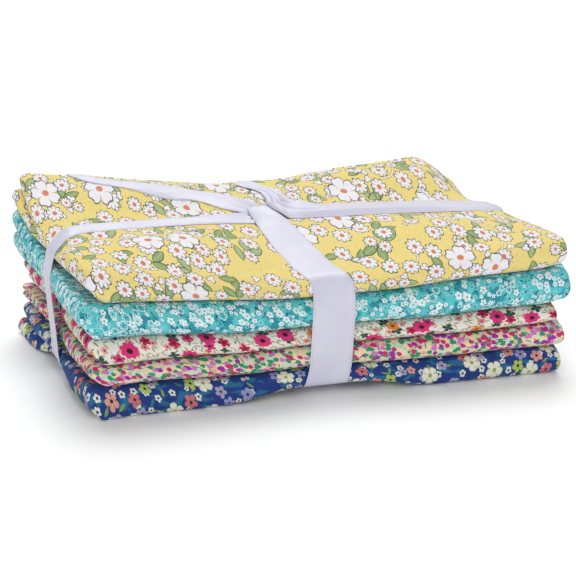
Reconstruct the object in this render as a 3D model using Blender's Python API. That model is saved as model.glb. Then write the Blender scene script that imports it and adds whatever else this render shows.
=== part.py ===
"""Fat quarter bundle: five folded cotton fat quarters, tied both ways with one satin ribbon.

+X runs along the long side, -Y is the front with the folded spines and +Z is up. The origin is the middle
of the stack, on the surface that it stands on. Lengths are in metres.

Each cloth is one solid. It is folded over at the left end, which gives two layers, and folded over again
round the front spine, which gives four layers in a back-and-forth section, a little apart. The ribbon
presses a cross-shaped waist into the pile, so its corners stand up as four soft lobes.
"""
import math

import bmesh
import bpy
from mathutils import Vector
from mathutils.bvhtree import BVHTree

MM = 0.001

# Driving dimensions of the pile
HALF_LENGTH = 114.5 * MM        # half of a cloth's 18 in side after its fold at the left end
HALF_DEPTH = 66.5 * MM          # half of a cloth's 21 in side after its other two folds
SHIFT_X = 0.1 * MM              # puts the middle of the finished outline over the origin
SHIFT_Y = -0.3 * MM
CLOTH_GAP = 0.7 * MM            # air between one cloth and the next
LAYER_GAP = 0.8 * MM            # air between the layers of one cloth
PLAIN_THICKNESS = 14.0 * MM     # an average cloth, before the pile is pressed unevenly
EDGE_ROUND = 3.0 * MM           # how far a cloth's outer layers stop short of its middle ones
TIE_FLAT = 10.0 * MM            # half the width of the flat floor under each ribbon
TIE_SOFTNESS = 0.14             # how gently the pile rises from that floor, as a share of half a side
VALLEY_Y = 7.0 * MM             # the lengthwise valley lies a little behind the middle
PUFF = 6.0 * MM                 # height of the four lobes over a flat pile
END_DENT = 2.0 * MM             # how far the ribbon pulls the two ends in
SIDE_DENT = 2.5 * MM            # how far it pulls the front and the rear in
DENT_HALF = 6.0 * MM            # the dent is full this far from the middle of the ribbon
DENT_FADE_X = 40.0 * MM         # and gone this much further out, along the front and the rear
DENT_FADE_Y = 34.0 * MM         # and along the two ends
SKEW = 4.5 * MM                 # the right end of the front stands this much nearer than the middle
FLOOR_PRESS = 1.8               # the lowest cloth's underside is pressed this much flatter than round
DROOP = 18.0 * MM               # fall of the top cloths at the right rear corner
DROOP_START_X = 88.0 * MM
DROOP_LENGTH_X = 30.0 * MM
DROOP_START_Y = 10.0 * MM
DROOP_LENGTH_Y = 45.0 * MM

# Height in mm of each cloth's upper face at nine places of the pile
#                       front              across the middle     rear
#                left   mid   right    left   mid   right    left   mid   right
UPPER_FACES = {
    "navy":     (16.0, 13.6, 12.5,     14.5, 15.0, 13.5,     17.0, 15.5, 14.5),
    "confetti": (26.5, 24.2, 26.0,     26.5, 27.0, 26.0,     26.0, 27.5, 28.0),
    "cream":    (40.0, 33.8, 36.5,     38.5, 39.5, 37.5,     41.0, 41.0, 41.0),
    "teal":     (57.0, 48.2, 54.5,     55.5, 55.5, 52.5,     66.0, 57.0, 60.0),
    "yellow":   (73.0, 57.5, 68.5,     70.5, 69.0, 63.5,     84.5, 71.5, 79.5),
}
# Where each cloth ends, in mm, and its colour; the upper lump of the left end stops short by `step`
#              left end              right end      front  rear
#              front   rear   step   front   rear   spine  edges   colour
CLOTHS = {
    "navy":     (-111.0, -119.5, 3.0,   117.0, 114.0, -67.0, 65.0, (0.020, 0.050, 0.230)),
    "confetti": (-110.0, -116.0, 0.0,   118.0, 115.0, -68.0, 67.0, (0.800, 0.560, 0.380)),
    "cream":    (-110.0, -114.5, -1.0,  114.0, 112.0, -67.5, 64.0, (0.810, 0.770, 0.700)),
    "teal":     (-115.0, -120.0, 0.0,   120.0, 116.0, -68.5, 67.0, (0.070, 0.520, 0.570)),
    "yellow":   (-110.5, -120.0, 4.0,   117.0, 111.0, -67.0, 65.5, (0.850, 0.680, 0.230)),
}
PILE = list(CLOTHS)

# Stations along the two sides; the pairs about the middle bound the flat band under the ribbon
STATIONS_X = [x * MM for x in (98, 72, 44, 14, -22, -46, -72, -98)]
STATIONS_Y = [y * MM for y in (46, 20, -13, -42)]
TURN_STEPS = 6                  # facets round each left end lump and each front spine

# The ribbon
RIBBON_WIDTH = 20.5 * MM
RIBBON_THICKNESS = 1.0 * MM
RIBBON_CLEARANCE = 0.4 * MM
RIBBON_COLOUR = (0.700, 0.690, 0.760)
LENGTHWISE_Y = 4.0 * MM         # middle of the lengthwise turn
CROSSWISE_X = -1.0 * MM         # middle of the crosswise turn
LENGTHWISE_BAND = (-18.5 * MM, 25.5 * MM)   # cloth that the lengthwise turn is drawn tight over, in y
CROSSWISE_BAND = (-22.5 * MM, 14.5 * MM)    # and that the crosswise turn is drawn tight over, in x
UNDER_LIFT = 3.8 * MM           # height of the pile over the ribbons' crossing underneath
UNDER_EDGE_LIFT = 4.8 * MM      # and where the ribbon pulls its lower edges up
UNDER_HALF = 14.0 * MM          # the lift is level this far from a ribbon's middle
UNDER_FADE_X = 40.0 * MM        # and gone this much further out, to the left and the right
UNDER_FADE_Y = 24.0 * MM        # and to the front and the rear
REAR_ARM_WIDTH = 11.0 * MM      # the rear arm is drawn together towards the knot
FRONT_ARM_SWAY = -7.5 * MM      # the front arm leans this far to the left where it meets the knot
REAR_ARM_SWAY = 6.0 * MM        # and the rear arm this far to the right
FOOT_SWAY = -4.0 * MM           # the ribbon slips to the left where it turns under the front
TOP_START = 50.0 * MM           # the arms lean from this height up
TOP_BLEND = 10.0 * MM
FRONT_ARM_EASE = (50.0 * MM, 18.0 * MM)     # lengths over which a lean comes in at the edge and goes at
REAR_ARM_EASE = (32.0 * MM, 14.0 * MM)      # the knot
FOOT_HEIGHT = 22.0 * MM
FOOT_EASE = 18.0 * MM
REAR_ARM_LOW = 30.0 * MM        # the rear arm widens to the full width from here down
KNOT_SIZE = (11.0 * MM, 13.0 * MM, 4.2 * MM)
KNOT_PLACE = (2.0 * MM, 11.0 * MM)
KNOT_SINK = 0.25                # the underside of the knot is this much flatter than its top
# The free end runs from the knot over the left rear lobe and hangs behind: x, y and width in plan, in mm
FREE_END_ROUTE = [(2, 13, 15), (-14, 25.5, 17), (-25, 33, 16), (-36, 37.5, 13), (-47, 41, 12),
                  (-57, 44.5, 11), (-66, 49, 11), (-74, 55, 11)]
FREE_END_EDGE = (-77.0, -89.0)  # where its two sides cross the rear edge, in mm
FREE_END_LIFT = 1.0 * MM
FREE_END_HANG = 34.0 * MM
FREE_END_STEPS = 4
FREE_END_DRIFT = -1.2 * MM      # sideways drift of the hanging part at each step


def ease(t):
    t = min(max(t, 0.0), 1.0)
    return t * t * (3.0 - 2.0 * t)


def reach(distance, half):
    """How far out a point lies between the flat floor under a ribbon (0) and the edge of the pile (1)."""
    return min(max((abs(distance) - TIE_FLAT) / (half - TIE_FLAT), 0.0), 1.0)


def spread(t):
    """Rise of the pile from its tied middle (0) to its edge (1)."""
    soft = TIE_SOFTNESS
    return (math.hypot(t, soft) - soft) / (math.hypot(1.0, soft) - soft)


def under_lift(x, y):
    """Height of the lowest cloth over the surface: nothing under the lobes, a little over the ribbon."""
    over_crosswise = 1.0 - ease((abs(x) - UNDER_HALF) / UNDER_FADE_X)
    over_lengthwise = 1.0 - ease((abs(y) - UNDER_HALF) / UNDER_FADE_Y)
    extra = UNDER_EDGE_LIFT - UNDER_LIFT
    front_back = (UNDER_LIFT + extra * (y / HALF_DEPTH) ** 2) * over_crosswise
    left_right = (UNDER_LIFT + extra * (x / HALF_LENGTH) ** 2) * over_lengthwise
    return max(front_back, left_right)


def face_height(level, x, y):
    """Height of the face between two cloths, in the plain plan of the pile; level 0 is the underside."""
    if level == 0:
        return under_lift(x, y)
    behind = y - VALLEY_Y
    u = reach(x, HALF_LENGTH)
    v = reach(behind, HALF_DEPTH - math.copysign(VALLEY_Y, behind))
    row = UPPER_FACES[PILE[level - 1]]
    lines = []
    for start in (0, 3, 6):
        left, middle, right = row[start:start + 3]
        side = left if x < 0 else right
        lines.append(middle + (side - middle) * spread(u))
    end = lines[0] if behind < 0 else lines[2]
    height = (lines[1] + (end - lines[1]) * spread(v)) * MM
    share = (level / len(PILE)) ** 2
    height += PUFF * share * (math.sin(math.pi * u) * math.sin(math.pi * v)) ** 2
    corner = ease((x - DROOP_START_X) / DROOP_LENGTH_X) * ease((y - DROOP_START_Y) / DROOP_LENGTH_Y)
    return height - DROOP * share * corner


def place(level, x, y, through):
    """A point of the cloth that lies on face `level`, `through` of the way up its thickness."""
    if level == 0 and through < 0.5:
        through = 0.5 * (2.0 * through) ** FLOOR_PRESS
    low = face_height(level, x, y) + CLOTH_GAP / 2 * (level > 0)
    high = face_height(level + 1, x, y) - CLOTH_GAP / 2
    near_tie_y = 1.0 - ease((abs(y - LENGTHWISE_Y) - DENT_HALF) / DENT_FADE_Y)
    near_tie_x = 1.0 - ease((abs(x) - DENT_HALF) / DENT_FADE_X)
    dent_x = END_DENT * near_tie_y * (x / HALF_LENGTH) ** 3
    dent_y = SIDE_DENT * near_tie_x * (y / HALF_DEPTH) ** 3
    out_x = x - dent_x + SHIFT_X
    out_y = y - dent_y - SKEW * x / HALF_LENGTH + SHIFT_Y
    return Vector((out_x, out_y, low + (high - low) * through))


def finish(name, bm, colour, roughness):
    bmesh.ops.recalc_face_normals(bm, faces=bm.faces)
    mesh = bpy.data.meshes.new(name)
    bm.to_mesh(mesh)
    bm.free()
    obj = bpy.data.objects.new(name, mesh)
    bpy.context.scene.collection.objects.link(obj)
    material = bpy.data.materials.new(name)
    material.use_nodes = True
    shader = material.node_tree.nodes["Principled BSDF"]
    shader.inputs["Base Color"].default_value = (*colour, 1.0)
    shader.inputs["Roughness"].default_value = roughness
    mesh.materials.append(material)
    return obj


def spine_stations(front, rear):
    """The way round one cloth from its lower rear edge to its upper one: (y, angle round the spine)."""
    centre = front + PLAIN_THICKNESS / 2
    flat = [rear] + STATIONS_Y + [centre]
    lower = [(y, -math.pi / 2) for y in flat]
    turn = [(centre, math.pi * (i / TURN_STEPS - 0.5)) for i in range(1, TURN_STEPS)]
    upper = [(y, math.pi / 2) for y in reversed(flat)]
    return lower + turn + upper


def cloth_section(left_end, step, right, angle):
    """Two layers joined at the left end: closed outline of (x, distance from the middle of the cloth)."""
    inside = LAYER_GAP / 2
    outside = PLAIN_THICKNESS / 2
    middle = (inside + outside) / 2
    radius = (outside - inside) / 2
    left = left_end + step * (1 + math.sin(angle)) / 2 + radius
    def run(depth, end):
        return [(end, depth)] + [(x, depth) for x in STATIONS_X] + [(left, depth)]
    outline = run(outside, right - EDGE_ROUND)
    for i in range(1, TURN_STEPS):
        bend = math.pi * i / TURN_STEPS
        outline.append((left - radius * math.sin(bend), middle + radius * math.cos(bend)))
    outline += list(reversed(run(inside, right)))
    outline += run(middle - LAYER_GAP / 2, right - 0.3 * EDGE_ROUND)
    outline.append((left - LAYER_GAP, middle))
    outline += list(reversed(run(middle + LAYER_GAP / 2, right - 0.6 * EDGE_ROUND)))
    return outline


def build_cloth(level):
    name = PILE[level]
    left_front, left_rear, step, right_front, right_rear, front, rear, colour = CLOTHS[name]
    front = front * MM
    rear = rear * MM
    bm = bmesh.new()
    rings = []
    for y_base, angle in spine_stations(front, rear):
        along = (y_base - front) / (rear - front)
        right = (right_front + (right_rear - right_front) * along) * MM
        left = (left_front + (left_rear - left_front) * along) * MM
        ring = []
        for x, depth in cloth_section(left, step * MM, right, angle):
            y = y_base - depth * math.cos(angle)
            through = 0.5 + depth / PLAIN_THICKNESS * math.sin(angle)
            ring.append(((x, y), bm.verts.new(place(level, x, y, through))))
        rings.append(ring)

    def patch(a, b, c, d):
        """Two triangles whose shared edge always runs the same way in plan, so that faces nest."""
        run_x = (b[0][0] - a[0][0]) + (c[0][0] - d[0][0])
        run_y = (d[0][1] - a[0][1]) + (c[0][1] - b[0][1])
        a, b, c, d = a[1], b[1], c[1], d[1]
        if run_x * run_y > 0:
            bm.faces.new((a, b, c))
            bm.faces.new((a, c, d))
        else:
            bm.faces.new((a, b, d))
            bm.faces.new((b, c, d))

    count = len(rings[0])
    for first, second in zip(rings, rings[1:]):
        for i in range(count):
            j = (i + 1) % count
            patch(first[i], first[j], second[j], second[i])
    for ring in (rings[0], rings[-1]):
        close_section(bm, [vert for _, vert in ring])
    return finish("fat_quarter_" + name, bm, colour, 0.9)


def close_section(bm, ring):
    """Cap one raw end of the two-layer outline: a ladder of quads for each layer, a fan at the turn."""
    count = len(STATIONS_X) + 2
    outer = ring[:count]
    turn = ring[count:count + TURN_STEPS - 1]
    inner = list(reversed(ring[count + TURN_STEPS - 1:2 * count + TURN_STEPS - 1]))
    slit_inner = ring[2 * count + TURN_STEPS - 1:3 * count + TURN_STEPS - 1]
    tip = ring[3 * count + TURN_STEPS - 1]
    slit_outer = list(reversed(ring[3 * count + TURN_STEPS:]))
    for rail, other in ((outer, slit_outer), (slit_inner, inner)):
        for i in range(count - 1):
            bm.faces.new((rail[i], rail[i + 1], other[i + 1], other[i]))
    fan = [slit_outer[-1], outer[-1]] + turn + [inner[-1], slit_inner[-1]]
    for first, second in zip(fan, fan[1:]):
        bm.faces.new((tip, first, second))


def taut_outline(points):
    """The outline of a ribbon drawn tight round the points: their convex hull, anticlockwise."""
    points = sorted(set(points))
    def half(source):
        chain = []
        for p in source:
            while len(chain) > 1:
                (ax, ay), (bx, by) = chain[-2], chain[-1]
                if (bx - ax) * (p[1] - ay) - (by - ay) * (p[0] - ax) > 1e-9:
                    break
                chain.pop()
            chain.append(p)
        return chain[:-1]
    hull = half(points) + half(reversed(points))
    kept = []
    for p in hull:
        if not kept or math.dist(p, kept[-1]) > 1.5 * MM:
            kept.append(p)
    return kept


def push_out(outline, distance):
    """The outline moved outwards by a distance, with mitred corners."""
    moved = []
    for i, here in enumerate(outline):
        before = Vector(outline[i - 1])
        after = Vector(outline[(i + 1) % len(outline)])
        here = Vector(here)
        into = (here - before).normalized()
        away = (after - here).normalized()
        normal_in = Vector((into.y, -into.x))
        normal_away = Vector((away.y, -away.x))
        mitre = (normal_in + normal_away).normalized()
        moved.append(here + mitre * distance / max(mitre.dot(normal_in), 0.5))
    return moved


def slice_points(cloths, axis, low, high):
    """Corners of the cloths' meshes in the band that a ribbon covers, as (along, height) pairs."""
    points = []
    other = 1 - axis
    for obj in cloths:
        for vert in obj.data.vertices:
            if low <= vert.co[axis] <= high:
                points.append((vert.co[other], vert.co.z))
    return points


def ribbon_loop(outline, axis, middle, width):
    """A closed band of ribbon: `axis` is the one it is wide in, `middle` and `width` follow the way round."""
    bm = bmesh.new()
    rings = []
    inner = push_out(outline, RIBBON_CLEARANCE)
    outer = push_out(outline, RIBBON_CLEARANCE + RIBBON_THICKNESS)
    for near, far in zip(inner, outer):
        centre = middle(near)
        half = width(near) / 2
        ring = []
        for side, point in ((-half, near), (half, near), (half, far), (-half, far)):
            co = Vector((0, 0, point[1]))
            co[axis] = centre + side
            co[1 - axis] = point[0]
            ring.append(bm.verts.new(co))
        rings.append(ring)
    for first, second in zip(rings, rings[1:] + rings[:1]):
        for i in range(4):
            j = (i + 1) % 4
            bm.faces.new((first[i], first[j], second[j], second[i]))
    return bm


def knot_lump(top):
    """The flat knot: a low rounded lump of gathered ribbon."""
    bm = bmesh.new()
    bmesh.ops.create_uvsphere(bm, u_segments=16, v_segments=8, radius=1.0)
    base = top + RIBBON_CLEARANCE + KNOT_SIZE[2] * KNOT_SINK
    for vert in bm.verts:
        rise = vert.co.z if vert.co.z > 0 else vert.co.z * KNOT_SINK
        vert.co = Vector((KNOT_PLACE[0] + vert.co.x * KNOT_SIZE[0], KNOT_PLACE[1] + vert.co.y * KNOT_SIZE[1],
                          base + rise * KNOT_SIZE[2]))
    return bm


def free_end(cloths, top):
    """The free end: a strip laid over the left rear lobe, then hanging behind the pile."""
    surface = BVHTree.FromObject(cloths[-1], bpy.context.evaluated_depsgraph_get())
    lift = FREE_END_LIFT
    thick = Vector((0, 0, RIBBON_THICKNESS))

    def laid(x, y):
        hit = surface.ray_cast(Vector((x, y, 1.0)), Vector((0, 0, -1)))[0]
        ground = max(hit.z, top) if hit else top
        return Vector((x, y, ground + lift))

    rings = []
    route = [Vector((x, y)) * MM for x, y, _ in FREE_END_ROUTE]
    for i, spot in enumerate(route):
        heading = (route[min(i + 1, len(route) - 1)] - route[max(i - 1, 0)]).normalized()
        across = Vector((heading.y, -heading.x)) * FREE_END_ROUTE[i][2] / 2 * MM
        low = [laid(*(spot + across * side)) for side in (1, 0, -1)]
        rings.append([(p, p + thick) for p in low])
    rear = max(vert.co.y for obj in cloths for vert in obj.data.vertices)
    top_rear = max(vert.co.y for vert in cloths[-1].data.vertices)
    right_x, left_x = [x * MM for x in FREE_END_EDGE]
    edge = [laid(x, top_rear - 3.5 * MM) for x in (right_x, (right_x + left_x) / 2, left_x)]
    rings.append([(p, p + thick) for p in edge])
    back = rear + lift
    for step in range(FREE_END_STEPS + 1):
        ring = []
        for p in edge:
            drop = FREE_END_HANG * step / FREE_END_STEPS
            low = Vector((p.x + FREE_END_DRIFT * step, back, p.z - drop))
            ring.append((low, low + Vector((0, RIBBON_THICKNESS, 0)) + thick * (step == 0)))
        rings.append(ring)

    bm = bmesh.new()
    loops = []
    for ring in rings:
        low = [bm.verts.new(low) for low, _ in ring]
        high = [bm.verts.new(high) for _, high in ring]
        loops.append(low + list(reversed(high)))
    for first, second in zip(loops, loops[1:]):
        for i in range(6):
            j = (i + 1) % 6
            bm.faces.new((first[i], first[j], second[j], second[i]))
    for loop in (loops[0], loops[-1]):
        for i in range(2):
            bm.faces.new((loop[i], loop[i + 1], loop[4 - i], loop[5 - i]))
    return bm


def build_ribbon(cloths):
    """One ribbon: the lengthwise turn, the crosswise turn, the knot and the free end, joined as one."""
    centre = face_height(len(PILE), 0.0, VALLEY_Y)
    knot_y = KNOT_PLACE[1]

    def crosswise_middle(point):
        y, z = point
        on_top = ease((z - TOP_START) / TOP_BLEND)
        front = ease((y + HALF_DEPTH) / FRONT_ARM_EASE[0]) * ease((knot_y - y) / FRONT_ARM_EASE[1])
        rear = ease((HALF_DEPTH - y) / REAR_ARM_EASE[0]) * ease((y - knot_y) / REAR_ARM_EASE[1])
        foot = ease((FOOT_HEIGHT - z) / FOOT_EASE) * ease(-2.0 * y / HALF_DEPTH - 1.0)
        return CROSSWISE_X + (FRONT_ARM_SWAY * front + REAR_ARM_SWAY * rear) * on_top + FOOT_SWAY * foot

    def crosswise_width(point):
        y, z = point
        at_rear = ease((y - knot_y) / REAR_ARM_EASE[1]) * ease(z / REAR_ARM_LOW - 1.0)
        return RIBBON_WIDTH + (REAR_ARM_WIDTH - RIBBON_WIDTH) * at_rear

    lengthwise = taut_outline(slice_points(cloths, 1, *LENGTHWISE_BAND))
    crossing = []
    for x, z in push_out(lengthwise, RIBBON_CLEARANCE + RIBBON_THICKNESS):
        if z < centre / 2 and abs(x) < HALF_LENGTH / 2:
            crossing += [(LENGTHWISE_Y - RIBBON_WIDTH / 2, z), (LENGTHWISE_Y + RIBBON_WIDTH / 2, z)]
    crosswise = taut_outline(slice_points(cloths, 0, *CROSSWISE_BAND) + crossing)
    pieces = [
        ribbon_loop(lengthwise, 1, lambda point: LENGTHWISE_Y, lambda point: RIBBON_WIDTH),
        ribbon_loop(crosswise, 0, crosswise_middle, crosswise_width),
        knot_lump(centre),
        free_end(cloths, centre),
    ]
    whole = None
    for index, bm in enumerate(pieces):
        obj = finish("ribbon" if index == 0 else "ribbon_piece", bm, RIBBON_COLOUR, 0.35)
        if whole is None:
            whole = obj
            continue
        obj.hide_render = True
        obj.display_type = "WIRE"
        union = whole.modifiers.new("join", "BOOLEAN")
        union.operation = "UNION"
        union.solver = "EXACT"
        union.object = obj
    return whole


for old in list(bpy.data.objects):
    bpy.data.objects.remove(old, do_unlink=True)
pile = [build_cloth(level) for level in range(len(PILE))]
bpy.context.view_layer.update()
build_ribbon(pile)
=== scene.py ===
"""Fat quarter bundle: five printed cottons, folded, stacked and tied both ways with one satin ribbon.

The file follows the bundle as it is made up. First comes the studio, then each fat quarter from the bottom
of the pile to the top, then the ribbon that ties them. The pile is worked out in millimetres.
"""
import math

import bpy
import numpy as np
from mathutils import Matrix, Vector
from mathutils.bvhtree import BVHTree


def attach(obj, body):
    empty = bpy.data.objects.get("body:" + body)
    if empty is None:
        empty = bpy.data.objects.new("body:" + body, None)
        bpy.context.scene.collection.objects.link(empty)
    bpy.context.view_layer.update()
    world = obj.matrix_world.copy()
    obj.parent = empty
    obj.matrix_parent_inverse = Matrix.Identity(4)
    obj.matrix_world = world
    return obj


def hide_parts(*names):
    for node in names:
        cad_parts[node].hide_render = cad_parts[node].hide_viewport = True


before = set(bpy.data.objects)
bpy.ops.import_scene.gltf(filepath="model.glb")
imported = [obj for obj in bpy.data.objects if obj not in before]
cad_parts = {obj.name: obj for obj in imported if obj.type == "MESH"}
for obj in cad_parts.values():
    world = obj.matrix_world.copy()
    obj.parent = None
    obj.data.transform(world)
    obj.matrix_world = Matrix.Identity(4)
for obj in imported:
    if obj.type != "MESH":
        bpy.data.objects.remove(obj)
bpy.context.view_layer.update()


# Studio
# A pale table under plain soft light: a broad lamp high up, weaker ones low behind and in front, and a bright
# room all round. The camera looks down a little from the front left, where the ties and four lobes show.
scene = bpy.context.scene
AZIMUTH = math.radians(18.56)
ELEVATION = math.radians(18.37)
CAMERA_DISTANCE = 1.15
AIM_RIGHT, AIM_DOWN, AIM_HEIGHT = 0.00136, 0.00227, 0.035
away = Vector((-math.sin(AZIMUTH) * math.cos(ELEVATION), -math.cos(AZIMUTH) * math.cos(ELEVATION),
               math.sin(ELEVATION)))
rightwards = Vector((math.cos(AZIMUTH), -math.sin(AZIMUTH), 0.0))
upwards = away.cross(rightwards)
aim = rightwards * AIM_RIGHT - upwards * AIM_DOWN + Vector((0.0, 0.0, AIM_HEIGHT))


def new_object(name, data):
    obj = bpy.data.objects.new(name, data)
    scene.collection.objects.link(obj)
    return obj


camera = new_object("camera", bpy.data.cameras.new("camera"))
camera.data.lens = 147.4
camera.data.sensor_width = 36.0
camera.data.clip_start = 0.05
turned = Matrix((rightwards, upwards, away)).transposed()
camera.matrix_world = Matrix.Translation(aim + away * CAMERA_DISTANCE) @ turned.to_4x4()
scene.camera = camera


def lamp(name, heading, strength, width):
    """A broad soft lamp, far off, so that the table is lit evenly; width is the angle that it fills."""
    light = bpy.data.lights.new(name, "SUN")
    light.energy = strength
    light.angle = math.radians(width)
    new_object(name, light).rotation_euler = Vector(heading).to_track_quat("Z", "Y").to_euler()


lamp("lamp_above", (0.10, 0.42, 1.0), 1.58, 34.0)
lamp("lamp_behind", (0.30, 0.86, 0.44), 0.38, 30.0)
lamp("lamp_front", (-0.42, -1.0, 0.50), 1.08, 50.0)


def set_inputs(node, values):
    for label, value in values.items():
        node.inputs[label].default_value = value


def new_finish(name):
    """A new material, with its node tree and its shader."""
    material = bpy.data.materials.new(name)
    material.use_nodes = True
    return material, material.node_tree, material.node_tree.nodes["Principled BSDF"]


room = bpy.data.worlds.new("room")
room.use_nodes = True
set_inputs(room.node_tree.nodes["Background"], {"Color": (1.0, 1.0, 1.0, 1.0), "Strength": 0.47})
scene.world = room
scene.view_settings.view_transform = "Standard"

table_mesh = bpy.data.meshes.new("table_top")
table_mesh.from_pydata([(-4, -4, 0), (4, -4, 0), (4, 4, 0), (-4, 4, 0)], [], [(0, 1, 2, 3)])
table_top = new_object("table_top", table_mesh)
paint, _, paint_shader = new_finish("table_white")
set_inputs(paint_shader, {"Base Color": (0.96, 0.96, 0.96, 1.0), "Roughness": 0.7, "Specular IOR Level": 0.2})
table_mesh.materials.append(paint)


# Navy fat quarter
# The bottom cloth: a fat quarter of printed plain-weave cotton, 457 x 533 mm, folded in half one way, in half
# the other way and over once more round a front spine. It is pressed flat by the pile and rests on the table.
CLOTH_THICKNESS = 0.42
PILE = ["navy", "confetti", "cream", "teal", "yellow"]
HALF_LENGTH, HALF_DEPTH = 114.5, 66.5
SHIFT_X, SHIFT_Y, SKEW = 0.1, -0.3, 4.5
CLOTH_GAP = 0.7
BLOCK_THICKNESS = 14.0
STACK_MIDDLE = 3.7
PLY_STEP = 2.07
TIE_FLAT, TIE_SOFTNESS = 10.0, 0.14
VALLEY_Y, TIE_Y = 7.0, 4.0
PUFF = 6.0
DROOP, DROOP_FROM_X, DROOP_FROM_Y = 18.0, 88.0, 10.0
END_DENT, SIDE_DENT, DENT_HALF = 2.0, 2.5, 6.0
DENT_FADE_X, DENT_FADE_Y = 40.0, 34.0
# Height of each cloth's upper face at its front, middle and rear: left, middle, right of each
UPPER_FACES = {
    "navy":     (16.0, 13.6, 12.5,  14.5, 15.0, 13.5,  17.0, 15.5, 14.5),
    "confetti": (26.3, 23.8, 24.6,  26.5, 27.0, 26.0,  26.0, 27.5, 28.0),
    "cream":    (39.8, 32.8, 34.6,  38.5, 39.5, 37.5,  41.0, 41.0, 41.0),
    "teal":     (56.3, 47.2, 52.2,  55.5, 55.5, 52.5,  66.0, 57.0, 60.0),
    "yellow":   (73.0, 57.5, 68.5,  70.5, 69.0, 63.5,  84.5, 71.5, 79.5),
}
# At the front of a left end the upper lump bulges over the lower one and swells down over it
BULGE_OVER, SWELL, SWELL_REACH = 3.0, 0.24, 26.0
# How far the corner by the front spine is drawn in at the right end, and how much thinner the cut edges lie
CORNER_IN, TOP_CORNER_IN, CORNER_REACH = 3.3, 1.0, 16.0
LOOSER = 0.16
# The lengthwise tie rounds the top cloth's left corner from here outwards
ROUND_FROM_X, ROUND_RADIUS = -103.0, 12.0
# The flat cloth's middle, its reach to each side of the turn, and the radius at which the spine's bend counts
FLAT_HALF, FLAT_REACH, SPINE_ROUND = 228.5, 223.6, 6.8
# Left end at the front and the rear, how far its upper lump stops short at the rear, right end at the front
# and the rear, front spine and rear edges
ENDS = {
    "navy":     (-111.0, -118.3, 3.0, 117.0, 114.0, -67.0, 65.0),
    "confetti": (-110.0, -115.0, 0.0, 118.0, 115.0, -68.0, 67.0),
    "cream":    (-110.0, -113.5, -1.0, 114.0, 112.0, -67.5, 64.0),
    "teal":     (-115.0, -118.8, 0.0, 120.0, 116.0, -68.5, 67.0),
    "yellow":   (-110.5, -118.8, 4.0, 117.0, 111.0, -67.0, 65.5),
}
# Creases in the top face: two ends, depth (a ridge if negative) and half width
CREASES = [
    (-26, 20, -72, 40, 1.7, 3.5), (-104, -4, -80, -14, 1.9, 2.8), (-102, -26, -86, -46, 1.5, 3.2),
    (-22, -12, -50, -26, 1.1, 3.2), (10, -14, 46, -26, 1.3, 3.2), (10, -42, 36, -53, 1.1, 2.8),
    (-18, -48, -40, -60, 1.1, 2.8), (22, 26, 60, 42, 1.4, 3.6), (14, 48, 36, 61, 1.1, 3.2),
    (-12, 42, -34, 58, 1.0, 3.2), (98, 20, 70, 36, 1.4, 3.4), (102, -6, 78, -20, 1.3, 3.2),
    (-62, -22, -30, -8, -1.2, 4.6), (42, -8, 84, -16, -1.5, 4.8), (-96, -52, -60, -60, 1.0, 3.2),
    (60, -50, 96, -56, 1.0, 3.4), (-100, 34, -74, 28, 1.1, 3.2), (48, 56, 84, 50, 0.9, 3.4),
]


def ease(t):
    t = np.clip(t, 0.0, 1.0)
    return t * t * (3.0 - 2.0 * t)


def reach(distance, half):
    return np.clip((np.abs(distance) - TIE_FLAT) / (half - TIE_FLAT), 0.0, 1.0)


def spread(t):
    soft = TIE_SOFTNESS
    return (np.hypot(t, soft) - soft) / (math.hypot(1.0, soft) - soft)


def under_lift(x, y):
    over_crosswise = 1.0 - ease((np.abs(x) - 14.0) / 40.0)
    over_lengthwise = 1.0 - ease((np.abs(y) - 14.0) / 24.0)
    front_back = (3.8 + (y / HALF_DEPTH) ** 2) * over_crosswise
    left_right = (3.8 + (x / HALF_LENGTH) ** 2) * over_lengthwise
    return np.maximum(front_back, left_right)


def waves(seed, x, y, shortest, longest, count=7):
    """Low uneven waves of about unit height, as in cloth that was folded by hand."""
    dice = np.random.default_rng(seed)
    total = 0.0
    for _ in range(count):
        length = dice.uniform(shortest, longest)
        heading = dice.uniform(0.0, math.pi)
        start = dice.uniform(0.0, 2.0 * math.pi)
        forward = x * math.cos(heading) + y * math.sin(heading)
        total = total + np.sin(2.0 * math.pi * forward / length + start)
    return total / math.sqrt(count)


def face_height(level, x, y):
    """Height of the face between two cloths of the pile; level 0 is the underside of the lowest."""
    if level == 0:
        return under_lift(x, y)
    behind = y - VALLEY_Y
    u = reach(x, HALF_LENGTH)
    v = reach(behind, HALF_DEPTH - np.copysign(VALLEY_Y, behind))
    row = UPPER_FACES[PILE[level - 1]]
    lines = []
    for start in (0, 3, 6):
        left, middle, right = row[start:start + 3]
        lines.append(middle + (np.where(x < 0, left, right) - middle) * spread(u))
    end = np.where(behind < 0, lines[0], lines[2])
    height = lines[1] + (end - lines[1]) * spread(v)
    share = (level / len(PILE)) ** 2
    height = height + PUFF * share * (np.sin(math.pi * u) * np.sin(math.pi * v)) ** 2
    corner = ease((x - DROOP_FROM_X) / 30.0) * ease((y - DROOP_FROM_Y) / 45.0)
    height = height - DROOP * share * corner
    loose = np.clip(u + v, 0.0, 1.0)
    height = height + 0.32 * waves(20 + level, x, y, 28.0, 90.0) * loose
    if level == len(PILE):
        for x0, y0, x1, y1, deep, wide in CREASES:
            run = np.array((x1 - x0, y1 - y0))
            along = np.clip(((x - x0) * run[0] + (y - y0) * run[1]) / (run @ run), 0.0, 1.0)
            off = np.hypot(x - x0 - along * run[0], y - y0 - along * run[1])
            fading = np.sin(math.pi * np.clip(along, 0.06, 0.94))
            height = height - deep * np.exp(-(off / wide) ** 2) * fading
    return height


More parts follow.
